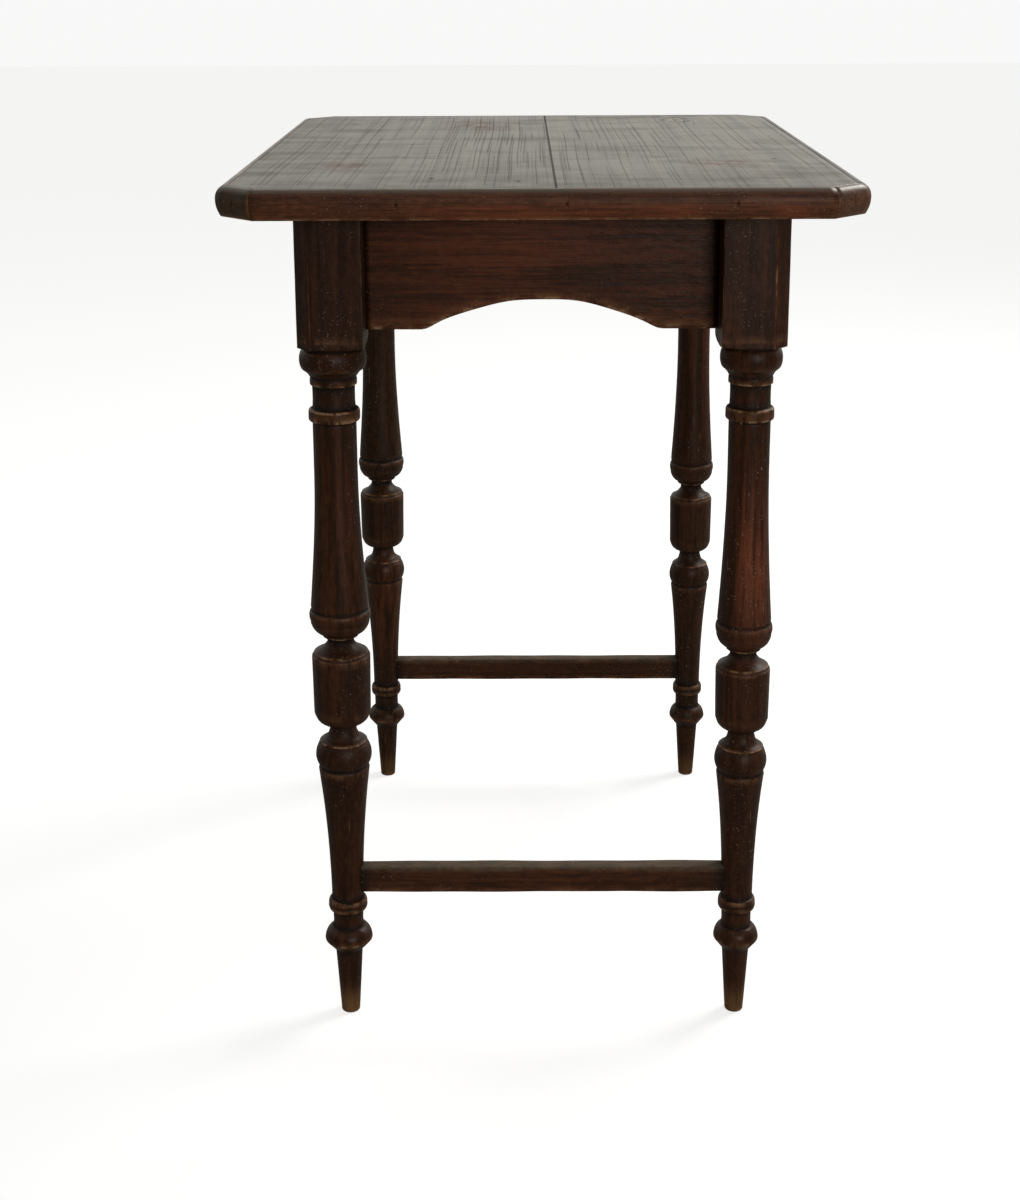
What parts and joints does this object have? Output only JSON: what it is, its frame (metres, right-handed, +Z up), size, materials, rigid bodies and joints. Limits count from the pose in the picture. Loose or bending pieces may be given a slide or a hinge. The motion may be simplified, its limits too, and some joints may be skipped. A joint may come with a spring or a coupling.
{
  "type": "sewing table",
  "caption": "Small rectangular wooden table with clipped corners and a rounded edge, on turned legs joined by arched aprons and by a stretcher at each end.",
  "frame": {"origin": "on the floor under the middle of the top", "axes": "+Z up; X across the short ends; Y along the long sides, with the end in the picture's foreground at -Y"},
  "size_m": [0.508, 0.66, 0.745],
  "materials": {
    "top_wood": "worn dark stain, semi-gloss, with open checks along the grain",
    "stained_wood": "dark walnut stain under worn shellac, semi-gloss",
    "edge_wood": "dark stained hardwood, rubbed, semi-gloss",
    "raw_wood": "unfinished, aged",
    "screw_steel": "dull, darkened",
    "nail_iron": "dark, oxidised"
  },
  "bodies": {
    "root": {"top_board_left": "top_wood", "top_board_right": "top_wood", "leg_front_left": "stained_wood", "leg_front_right": "stained_wood", "leg_rear_left": "stained_wood", "leg_rear_right": "stained_wood", "apron_front_end": "stained_wood", "apron_rear_end": "stained_wood", "apron_left_side": "stained_wood", "apron_right_side": "stained_wood", "stretcher_front_end": "stained_wood", "stretcher_rear_end": "stained_wood", "corner_block_front_left": "raw_wood", "corner_block_front_right": "raw_wood", "corner_block_rear_left": "raw_wood", "corner_block_rear_right": "raw_wood", "fixing_block_left": "raw_wood", "fixing_block_right": "raw_wood", "screw_front_left": "screw_steel", "screw_front_right": "screw_steel", "screw_rear_left": "screw_steel", "screw_rear_right": "screw_steel", "screw_side_left": "screw_steel", "screw_side_right": "screw_steel", "lipping_front_end": "edge_wood", "lipping_front_right_corner": "edge_wood", "lipping_right_side": "edge_wood", "lipping_rear_right_corner": "edge_wood", "lipping_rear_end": "edge_wood", "lipping_rear_left_corner": "edge_wood", "lipping_left_side": "edge_wood", "lipping_front_left_corner": "edge_wood", "nail_front_end_1": "nail_iron", "nail_front_end_2": "nail_iron", "nail_front_end_3": "nail_iron", "nail_front_right_corner_1": "nail_iron", "nail_right_side_1": "nail_iron", "nail_right_side_2": "nail_iron", "nail_right_side_3": "nail_iron", "nail_right_side_4": "nail_iron", "nail_rear_right_corner_1": "nail_iron", "nail_rear_end_1": "nail_iron", "nail_rear_end_2": "nail_iron", "nail_rear_end_3": "nail_iron", "nail_rear_left_corner_1": "nail_iron", "nail_left_side_1": "nail_iron", "nail_left_side_2": "nail_iron", "nail_left_side_3": "nail_iron", "nail_left_side_4": "nail_iron", "nail_front_left_corner_1": "nail_iron"}
  },
  "joints": []
}
